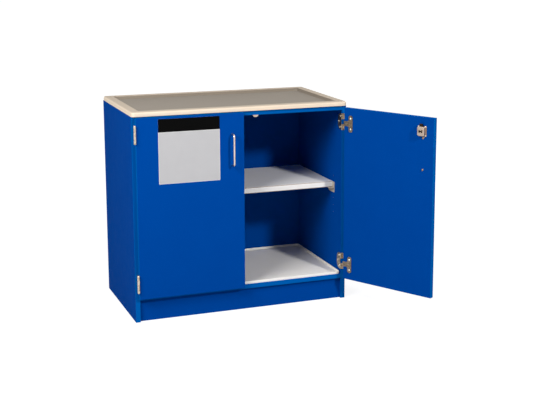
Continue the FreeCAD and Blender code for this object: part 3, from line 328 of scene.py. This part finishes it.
makeStudio()
print("studio set")


# laminate boards: satin face, edge band with its glue line, chipboard where a hole shows it

laminate = {
    "blue": (0.0, 0.062, 0.335),
    "blueDeep": (0.0, 0.055, 0.310),
    # the blue edge band is its own tone made lighter than the face: a painted highlight along the edges
    "blueBandHighlight": (0.0, 0.112, 0.44),
    "white": (0.95, 0.93, 0.89),
    "whiteDeep": (0.93, 0.905, 0.86),
    "whiteBand": (0.94, 0.91, 0.865),
    "band": 0.0008,             # thickness of the edge band, and of the glue line beside it
    "glue": 0.00025,
    "bandWear": 0.86,
    "glueShare": 0.35,
    "glueShade": 0.35,
    "cloud": 0.14,
    "peel": 0.0014,             # size of the face's fine texture
    "peelDepth": 0.00002,
    "fleckRange": (0.45, 0.65),
    "fleckShare": 0.5,
    "fleckShade": 0.86,
    "smoothPatch": 0.03,
    "roughness": (0.50, 0.60),
    "specular": 0.0015,
    "core": (0.33, 0.20, 0.10),
    "coreDark": (0.16, 0.09, 0.045),
    "coreRoughness": 0.9,
    "chip": 0.0016,
    "chipRange": (0.35, 0.65),
}


def boardFinish(node, colours, thin, turned=False):
    # colours are the face, its deeper tone and the edge band; thin is the axis across the board
    look = laminate
    material, tree, shader = freshMaterial(node + "_laminate")
    spot = placeNode(tree, turned)
    inward = inwardNode(tree, spot, *(shutBox(node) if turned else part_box(node)))
    along = [axis for axis in range(3) if axis != thin]
    rim = mathNode(tree, "MINIMUM", inward[along[0]], inward[along[1]])
    inside = mathNode(tree, "GREATER_THAN", mathNode(tree, "MINIMUM", rim, inward[thin]), look["band"])
    banded = mathNode(tree, "LESS_THAN", rim, look["band"])
    glued = mathNode(tree, "LESS_THAN", rim, look["band"] + look["glue"])

    clouds = noiseNode(tree, spot, look["cloud"], detail=2)
    peel = noiseNode(tree, spot, look["peel"], detail=2)
    flecks = rangeNode(tree, peel, *look["fleckRange"], 0, look["fleckShare"])
    face = blendNode(tree, clouds, colours[0], colours[1])
    face = blendNode(tree, flecks, face, tuple(look["fleckShade"] * c for c in colours[1]))
    line = blendNode(tree, look["glueShare"], face, tuple(look["glueShade"] * c for c in colours[0]))
    edge = blendNode(tree, clouds, colours[2], tuple(look["bandWear"] * c for c in colours[2]))
    skin = blendNode(tree, banded, blendNode(tree, glued, face, line), edge)
    chips = rangeNode(tree, noiseNode(tree, spot, look["chip"], detail=4), *look["chipRange"], 0, 1)
    core = blendNode(tree, chips, look["coreDark"], look["core"])
    tree.links.new(blendNode(tree, inside, skin, core), shader.inputs["Base Color"])

    patches = noiseNode(tree, spot, look["smoothPatch"])
    smooth = rangeNode(tree, patches, *noiseSpan, *look["roughness"])
    rough = mathNode(tree, "MAXIMUM", smooth, mathNode(tree, "MULTIPLY", inside, look["coreRoughness"]))
    tree.links.new(rough, shader.inputs["Roughness"])
    shader.inputs["Specular IOR Level"].default_value = look["specular"]
    grain(tree, shader, peel, look["peelDepth"])
    return material


def dressBoards():
    blue = (laminate["blue"], laminate["blueDeep"], laminate["blueBandHighlight"])
    white = (laminate["white"], laminate["whiteDeep"], laminate["whiteBand"])
    acrossBoard = {"left_side_panel": 0, "right_side_panel": 0, "top_panel": 2, "floor_panel": 2,
                   "back_panel": 1, "toe_kick": 1, "rear_base_rail": 1, "left_door_panel": 1}
    for node, thin in acrossBoard.items():
        dress(node, boardFinish(node, blue, thin))
    dress("shelf", boardFinish("shelf", white, 2))
    dress("right_door_panel", boardFinish("right_door_panel", blue, 1, turned=True))


dressBoards()
print("boards finished")


# moulded plastics

plastics = {
    "cloud": 0.05,
    "fineShare": 0.12,
    "tray": {
        "colour": (0.82, 0.69, 0.545), "deep": (0.78, 0.65, 0.505),
        "floorColour": (0.285, 0.252, 0.212), "floorDeep": (0.248, 0.217, 0.182),
        # painted shade on the recess walls, darker than the recess floor
        "paintedWallShade": (0.215, 0.18, 0.142),
        "rim": 0.036, "wall": 0.0078, "fade": 0.0012,       # widths, from the outer edge inwards
        # painted shade on the rim's flat top: the factor it is darkened by, and the height it fades in over
        "paintedTopShade": 0.68, "topFade": 0.0025,
        "speck": 0.004, "speckRange": (0.35, 0.7), "cloudShare": 0.35,
        "grain": 0.0011, "grainDepth": 0.00006, "roughness": (0.48, 0.62), "specular": 0.05,
    },
    "liner": {"colour": (0.96, 0.93, 0.865), "deep": (0.94, 0.90, 0.825), "grain": 0.0014,
              "grainDepth": 0.00004, "roughness": (0.38, 0.52), "specular": 0.10},
    "clip": {"colour": (0.56, 0.49, 0.40), "deep": (0.50, 0.43, 0.35), "grain": 0.0009,
             "grainDepth": 0.00003, "roughness": (0.40, 0.55), "specular": 0.4},
    "catch": {"colour": (0.030, 0.028, 0.027), "deep": (0.022, 0.020, 0.019), "grain": 0.0008,
              "grainDepth": 0.00004, "roughness": (0.45, 0.6), "specular": 0.4},
}


def plasticFinish(name, look):
    material, tree, shader = freshMaterial(name + "_plastic")
    spot = placeNode(tree)
    clouds = noiseNode(tree, spot, plastics["cloud"])
    fine = noiseNode(tree, spot, look["grain"])
    colour = blendNode(tree, clouds, look["colour"], look["deep"])
    if "floorColour" in look:
        low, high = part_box("top_tray")
        inward = inwardNode(tree, spot, low, high)
        # painted shade on the rim's flat top, darker than its lip; the recess floor is grey, with painted
        # shade on its walls
        height = addNode(tree, "SeparateXYZ", {"Vector": spot}).outputs["Z"]
        paintedTopShare = rangeNode(tree, height, high.z - look["topFade"], high.z, 0, 1)
        colour = blendNode(tree, paintedTopShare, colour, tuple(look["paintedTopShade"] * c for c in look["colour"]))
        reach = mathNode(tree, "MINIMUM", inward[0], inward[1])
        recessShare = rangeNode(tree, reach, look["rim"], look["rim"] + look["fade"], 0, 1)
        wallEnd = look["rim"] + look["wall"]
        floorShare = rangeNode(tree, reach, wallEnd, wallEnd + look["fade"], 0, 1)
        specks = noiseNode(tree, spot, look["speck"], detail=4)
        specks = rangeNode(tree, specks, *look["speckRange"], 0, 1)
        base = blendNode(tree, specks, look["floorColour"], look["floorDeep"])
        cloudShare = mathNode(tree, "MULTIPLY", clouds, look["cloudShare"])
        base = blendNode(tree, cloudShare, base, look["floorColour"])
        # the walls between the rim and the recess floor get the painted shade
        base = blendNode(tree, floorShare, look["paintedWallShade"], base)
        colour = blendNode(tree, recessShare, colour, base)
    shade = rangeNode(tree, fine, *noiseSpan, 0, plastics["fineShare"])
    tree.links.new(blendNode(tree, shade, colour, look["deep"]), shader.inputs["Base Color"])
    tree.links.new(rangeNode(tree, fine, *noiseSpan, *look["roughness"]), shader.inputs["Roughness"])
    shader.inputs["Specular IOR Level"].default_value = look["specular"]
    grain(tree, shader, fine, look["grainDepth"])
    return material


def dressPlastics():
    dress("top_tray", plasticFinish("tray", plastics["tray"]))
    dress("floor_liner", plasticFinish("liner", plastics["liner"]))
    clip = plasticFinish("clip", plastics["clip"])
    for node in nodes:
        if node.endswith("shelf_clip"):
            dress(node, clip)
    dress("catch_case", plasticFinish("catch", plastics["catch"]))


dressPlastics()
print("plastics finished")


# metals: faint brushing, and a deeper tone in patches where a piece is handled or bent

metals = {
    "streak": 0.0006, "streakShare": 0.25, "streakDepth": 0.00001,
    "patchRange": (0.35, 0.7),
    "hollow": (0.0068, 0.0013, 0.0043),     # from the lock case's sides, face and ends in to its hollow
    "hinge": {"colour": (0.76, 0.66, 0.53), "deep": (0.30, 0.22, 0.14), "brush": (1, 1, 0.06),
              "patch": 0.007, "roughness": (0.26, 0.46)},
    # the hinge metal again, darker: painted shade on the right door's hinge leaves
    "doorLeafPaintedShade": {"colour": (0.46, 0.37, 0.27), "deep": (0.17, 0.12, 0.07), "brush": (1, 1, 0.06),
                 "patch": 0.007, "roughness": (0.28, 0.48)},
    "pull": {"colour": (0.78, 0.66, 0.57), "deep": (0.60, 0.49, 0.41), "brush": (1, 1, 0.05),
             "patch": 0.012, "roughness": (0.20, 0.34)},
    "screw": {"colour": (0.95, 0.88, 0.79), "deep": (0.74, 0.66, 0.56), "brush": (1, 1, 1),
              "patch": 0.004, "roughness": (0.22, 0.40)},
    "pullScrew": {"colour": (0.40, 0.28, 0.18), "deep": (0.27, 0.18, 0.11), "brush": (1, 1, 1),
                  "patch": 0.003, "roughness": (0.26, 0.44)},
    "lock": {"colour": (0.56, 0.45, 0.37), "deep": (0.42, 0.33, 0.26), "brush": (1, 1, 1),
             "patch": 0.004, "roughness": (0.30, 0.48)},
    # the lock case and the brass plug carry painted shade in the case's hollow
    "lockCase": {"colour": (0.54, 0.435, 0.355), "deep": (0.40, 0.315, 0.25), "brush": (1, 1, 1),
                 "patch": 0.004, "roughness": (0.30, 0.48), "paintedHollowShade": (0.012, 0.009, 0.008)},
    "bolt": {"colour": (0.042, 0.026, 0.019), "deep": (0.024, 0.014, 0.010), "brush": (1, 1, 0.1),
             "patch": 0.004, "roughness": (0.36, 0.52)},
    "brass": {"colour": (0.74, 0.52, 0.22), "deep": (0.55, 0.37, 0.14), "brush": (1, 1, 1),
              "patch": 0.003, "roughness": (0.24, 0.4), "paintedHollowShade": (0.030, 0.021, 0.012)},
    "steel": {"colour": (0.56, 0.56, 0.56), "deep": (0.42, 0.42, 0.41), "brush": (0.05, 1, 1),
              "patch": 0.004, "roughness": (0.30, 0.48)},
}


def metalFinish(name, look, turned):
    material, tree, shader = freshMaterial(name + ("_turned" if turned else "") + "_metal")
    spot = placeNode(tree, turned)
    streaks = noiseNode(tree, spot, metals["streak"], detail=2, stretch=look["brush"])
    patches = noiseNode(tree, spot, look["patch"], detail=4)
    patches = rangeNode(tree, patches, *metals["patchRange"], 0, 1)
    colour = blendNode(tree, patches, look["colour"], look["deep"])
    brushed = rangeNode(tree, streaks, *noiseSpan, 0, metals["streakShare"])
    colour = blendNode(tree, brushed, colour, look["deep"])
    if "paintedHollowShade" in look:
        # painted shade: what lies within the lock case's hollow is painted dark
        low, high = shutBox("lock_case")
        margin = Vector(metals["hollow"])
        inward = inwardNode(tree, spot, low + Vector((margin.x, 0, margin.z)), high - margin)
        depth = mathNode(tree, "MINIMUM", mathNode(tree, "MINIMUM", inward[0], inward[1]), inward[2])
        colour = blendNode(tree, mathNode(tree, "GREATER_THAN", depth, 0), colour, look["paintedHollowShade"])
    tree.links.new(colour, shader.inputs["Base Color"])
    shader.inputs["Metallic"].default_value = 1.0
    tree.links.new(rangeNode(tree, streaks, *noiseSpan, *look["roughness"]), shader.inputs["Roughness"])
    grain(tree, shader, streaks, metals["streakDepth"])
    return material


metalFor = {}


def metalOf(kind, body):
    # one material for a metal, and one more for its pieces on the right door, turned with the door
    turned = body in ("right_door", "lock_plug", "lock_bolt")
    if (kind, turned) not in metalFor:
        metalFor[kind, turned] = metalFinish(kind, metals[kind], turned)
    return metalFor[kind, turned]


def dressMetals():
    kinds = {"strike_plate": "lock", "lock_case": "lockCase", "lock_cylinder": "lock", "lock_plug": "brass",
             "lock_bolt": "bolt", "catch_magnet": "steel", "catch_plate": "steel",
             "right_upper_hinge_door_leaf": "doorLeafPaintedShade", "right_lower_hinge_door_leaf": "doorLeafPaintedShade"}
    for node, item in nodes.items():
        kind = kinds.get(node)
        if not kind:
            kind = next((word for word in ("screw", "hinge", "pull") if word in node), None)
        if kind:
            dress(node, metalOf(kind, item["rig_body"]))


dressMetals()
print("metals finished")


# cross-head screws over the plain ones of the frame

screws = {
    "wood": {"head": 0.0042, "dome": 0.0024, "shank": 0.0019, "length": 0.016, "pointed": True},
    "fine": {"head": 0.0023, "dome": 0.0014, "shank": 0.0012, "length": 0.012, "pointed": True},
    "pull": {"head": 0.0046, "dome": 0.0026, "shank": 0.0019, "length": 0.025, "pointed": False},
    "sides": 28,
    "rimShare": 0.35,                               # height of the head's straight rim, of its dome's
    "domeAngle": 78, "domeSteps": 6,
    "crossReach": 0.62, "crossWide": 0.22,          # of the head's radius
    "crossDeep": 0.55, "crossTop": 1.3,             # of the head's height
    "crossFoot": 0.45, "crossMouth": 1.15,          # how the cross tapers
    "neck": 0.001,
    "threadPitch": 0.0013, "grooveShare": 0.82,
    "point": 2, "pointEnd": 0.08,                   # a pointed tip's length in shank radii, its end's share
    "blunt": 0.0005, "bluntEnd": 0.8,               # a blunt tip's length in metres, its end's share
    "turnStep": 37,                                 # degrees from one screw's cross to the next
    "smoothAngle": 35,
    "merge": 0.00001,
    "nodes": {
        "back_panel_screws": "wood", "hinge_side_screws": "wood",
        "left_door_hinge_screws": "wood", "right_door_hinge_screws": "wood",
        "left_pull_screws": "pull", "right_pull_screws": "pull",
        "lock_case_screws": "fine", "strike_screws": "fine",
        "catch_screws": "fine", "catch_plate_screws": "fine",
    },
}


def pushOn(step, scale):
    # extrude the selected face along Z and scale its new rim about the Z axis
    bpy.ops.mesh.extrude_region_move(TRANSFORM_OT_translate={"value": (0, 0, step)})
    bpy.ops.transform.resize(value=(scale, scale, 1), center_override=(0, 0, 0))


def makeScrewShape(kind):
    look = screws[kind]
    head, dome, shank, length = look["head"], look["dome"], look["shank"], look["length"]
    rim = dome * screws["rimShare"]
    bpy.ops.object.select_all(action="DESELECT")
    bpy.ops.mesh.primitive_cylinder_add(vertices=screws["sides"], radius=head, depth=rim,
                                        location=(0, 0, rim / 2))
    screw = bpy.context.object
    screw.name = "screw_" + kind
    bpy.ops.object.transform_apply(location=True, rotation=False, scale=False)
    # dome of the head, in rings that close over it
    selectFaces(screw, lambda f: f.normal.z > facing)
    wide, steps, full = 1.0, screws["domeSteps"], math.radians(screws["domeAngle"])
    for step in range(1, steps + 1):
        angle = full * step / steps
        rise = (dome - rim) * (math.sin(angle) - math.sin(angle - full / steps)) / math.sin(full)
        pushOn(rise, math.cos(angle) / wide)
        wide = math.cos(angle)
    # shank with its thread, and its point
    selectFaces(screw, lambda f: f.normal.z < -facing)
    bpy.ops.mesh.inset(thickness=head - shank)
    pushOn(-screws["neck"], 1)
    tip = screws["point"] * shank if look["pointed"] else screws["blunt"]
    threaded = length - screws["neck"] - tip
    turns = int(threaded / screws["threadPitch"])
    half = threaded / turns / 2
    for turn in range(turns):
        pushOn(-half, screws["grooveShare"])
        pushOn(-half, 1 / screws["grooveShare"])
    pushOn(-tip, screws["pointEnd" if look["pointed"] else "bluntEnd"])
    bpy.ops.object.mode_set(mode="OBJECT")
    # cross recess, cut with a tapered cross
    reach, wideCross = head * screws["crossReach"], head * screws["crossWide"]
    bpy.ops.object.select_all(action="DESELECT")
    bpy.ops.mesh.primitive_cube_add(size=wideCross, location=(0, 0, 0))
    cross = bpy.context.object
    selectFaces(cross, lambda f: abs(f.normal.z) < facing)
    bpy.ops.mesh.extrude_faces_move(TRANSFORM_OT_shrink_fatten={"value": reach - wideCross / 2})
    bpy.ops.object.mode_set(mode="OBJECT")
    deep = dome * screws["crossDeep"]
    for point in cross.data.vertices:
        low = point.co.z < 0
        taper = screws["crossFoot" if low else "crossMouth"]
        height = dome - deep if low else dome * screws["crossTop"]
        point.co = (point.co.x * taper, point.co.y * taper, height)
    cutter = screw.modifiers.new("cross", "BOOLEAN")
    cutter.object = cross
    cutter.operation = "DIFFERENCE"
    cutter.solver = "EXACT"
    bpy.context.view_layer.objects.active = screw
    bpy.ops.object.modifier_apply(modifier="cross")
    bpy.data.objects.remove(cross)
    bpy.ops.object.select_all(action="DESELECT")
    screw.select_set(True)
    bpy.ops.object.shade_smooth_by_angle(angle=math.radians(screws["smoothAngle"]))
    return screw


def screwSpots(node):
    # the box of each screw of a node, from a merged copy taken apart and sorted by place
    bpy.ops.object.select_all(action="DESELECT")
    copy = nodes[node].copy()
    copy.data = nodes[node].data.copy()
    copy.parent = None
    bpy.context.scene.collection.objects.link(copy)
    copy.select_set(True)
    bpy.context.view_layer.objects.active = copy
    bpy.ops.object.mode_set(mode="EDIT")
    bpy.ops.mesh.select_all(action="SELECT")
    bpy.ops.mesh.remove_doubles(threshold=screws["merge"])
    bpy.ops.mesh.separate(type="LOOSE")
    bpy.ops.object.mode_set(mode="OBJECT")
    boxes = []
    for part in list(bpy.context.selected_objects):
        corners = [Vector(corner) for corner in part.bound_box]
        boxes.append((min(corners, key=sum), max(corners, key=sum)))
        bpy.data.objects.remove(part)
    return sorted(boxes, key=lambda box: tuple(round(value, 4) for value in box[0]))


def screwLook(node, middle):
    # which way a screw's head looks
    if node == "hinge_side_screws":
        return Vector((-1 if middle.x > 0 else 1, 0, 0))
    if node in ("strike_screws", "catch_screws"):
        return Vector((0, 0, -1))
    if node in ("right_door_hinge_screws", "right_pull_screws", "lock_case_screws"):
        return Matrix.Rotation(doorTurn, 3, "Z") @ Vector((0, 1, 0))
    return Vector((0, 1, 0))


def makeScrews():
    shapes = {kind: makeScrewShape(kind) for kind in ("wood", "fine", "pull")}
    for node, kind in screws["nodes"].items():
        look = screws[kind]
        copies = []
        for number, (low, high) in enumerate(screwSpots(node)):
            middle = (low + high) / 2
            way = screwLook(node, middle)
            # the box is as long as the screw, so the head's base lies this far from its middle
            base = middle + way * ((look["length"] + look["dome"]) / 2 - look["dome"])
            turn = Matrix.Rotation(math.radians(screws["turnStep"] * number), 4, "Z")
            aim = way.to_track_quat("Z", "X" if abs(way.z) > facing else "Y").to_matrix().to_4x4()
            copy = shapes[kind].copy()
            copy.data = shapes[kind].data.copy()
            copy.data.transform(Matrix.Translation(base) @ aim @ turn)
            bpy.context.scene.collection.objects.link(copy)
            copies.append(copy)
        bpy.context.view_layer.update()
        bpy.ops.object.select_all(action="DESELECT")
        for copy in copies:
            copy.select_set(True)
        bpy.context.view_layer.objects.active = copies[0]
        bpy.ops.object.join()
        piece = bpy.context.object
        piece.name = node.replace("_screws", "_cross_heads")
        body = nodes[node]["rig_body"]
        dress(piece, metalOf("pullScrew" if kind == "pull" else "screw", body))
        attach(piece, body)
        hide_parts(node)
        print("screws of", node, len(copies))
    for shape in shapes.values():
        bpy.data.objects.remove(shape)


makeScrews()
print("screws made")


# bare plate on the left door: a silver field under a dark band

labelPlate = {
    "left": -0.3560, "right": -0.1037,
    "bottom": 0.5658, "top": 0.8270,
    "bandBottom": 0.7738,
    "thick": 0.0004,
    "corner": 0.003, "cornerSteps": 6,
    "borderWide": 0.0022,
    # colour, deeper tone and roughness
    "border": ((0.78, 0.77, 0.76), (0.515, 0.51, 0.518), (0.5, 0.6)),
    "silver": ((0.515, 0.51, 0.518), (0.478, 0.472, 0.482), (0.4, 0.55)),
    "band": ((0.0015, 0.0015, 0.0015), (0.001, 0.001, 0.001), (0.4, 0.5)),
    "specular": 0.03,
    "cloud": 0.03,
    "fibre": 0.0007, "fibreRange": (0.4, 0.7), "fibreShare": 0.2, "fibreDepth": 0.000008,
}


def paperFinish(name, colour, deep, roughness):
    look = labelPlate
    material, tree, shader = freshMaterial(name)
    spot = placeNode(tree)
    clouds = noiseNode(tree, spot, look["cloud"])
    fibres = noiseNode(tree, spot, look["fibre"])
    mixed = blendNode(tree, clouds, colour, deep)
    fibreShare = rangeNode(tree, fibres, *look["fibreRange"], 0, look["fibreShare"])
    tree.links.new(blendNode(tree, fibreShare, mixed, deep), shader.inputs["Base Color"])
    tree.links.new(rangeNode(tree, clouds, *noiseSpan, *roughness), shader.inputs["Roughness"])
    shader.inputs["Specular IOR Level"].default_value = look["specular"]
    grain(tree, shader, fibres, look["fibreDepth"])
    return material


def makeLabelPlate():
    plate = labelPlate
    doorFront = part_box("left_door_panel")[0].y
    width, height = plate["right"] - plate["left"], plate["top"] - plate["bottom"]
    middle = ((plate["left"] + plate["right"]) / 2, doorFront - plate["thick"] / 2,
              (plate["bottom"] + plate["top"]) / 2)
    bpy.ops.object.select_all(action="DESELECT")
    bpy.ops.mesh.primitive_cube_add(size=1, location=middle)
    piece = bpy.context.object
    piece.name = "label_plate"
    piece.scale = (width, plate["thick"], height)
    bpy.ops.object.transform_apply(location=True, rotation=False, scale=True)
    # round the four corners
    selectEdges(piece, lambda a, b: abs(a.y - b.y) > plate["thick"] / 2)
    bpy.ops.mesh.bevel(offset=plate["corner"], segments=plate["cornerSteps"], affect="EDGES")
    # the band's lower edge, then a narrow border round the field under it
    bpy.ops.mesh.select_all(action="SELECT")
    bpy.ops.mesh.bisect(plane_co=(0, 0, plate["bandBottom"]), plane_no=(0, 0, 1))
    selectFaces(piece, lambda f: f.normal.y < -facing and f.center.z < plate["bandBottom"])
    bpy.ops.mesh.inset(thickness=plate["borderWide"])
    bpy.ops.object.mode_set(mode="OBJECT")
    for part in ("border", "silver", "band"):
        piece.data.materials.append(paperFinish("plate_" + part, *plate[part]))
    # the border is material 0, the field 1 and the band 2
    for face in piece.data.polygons:
        if face.normal.y < -facing and face.center.z > plate["bandBottom"]:
            face.material_index = 2
        elif face.select:
            face.material_index = 1
    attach(piece, "left_door")


makeLabelPlate()
print("label plate made")
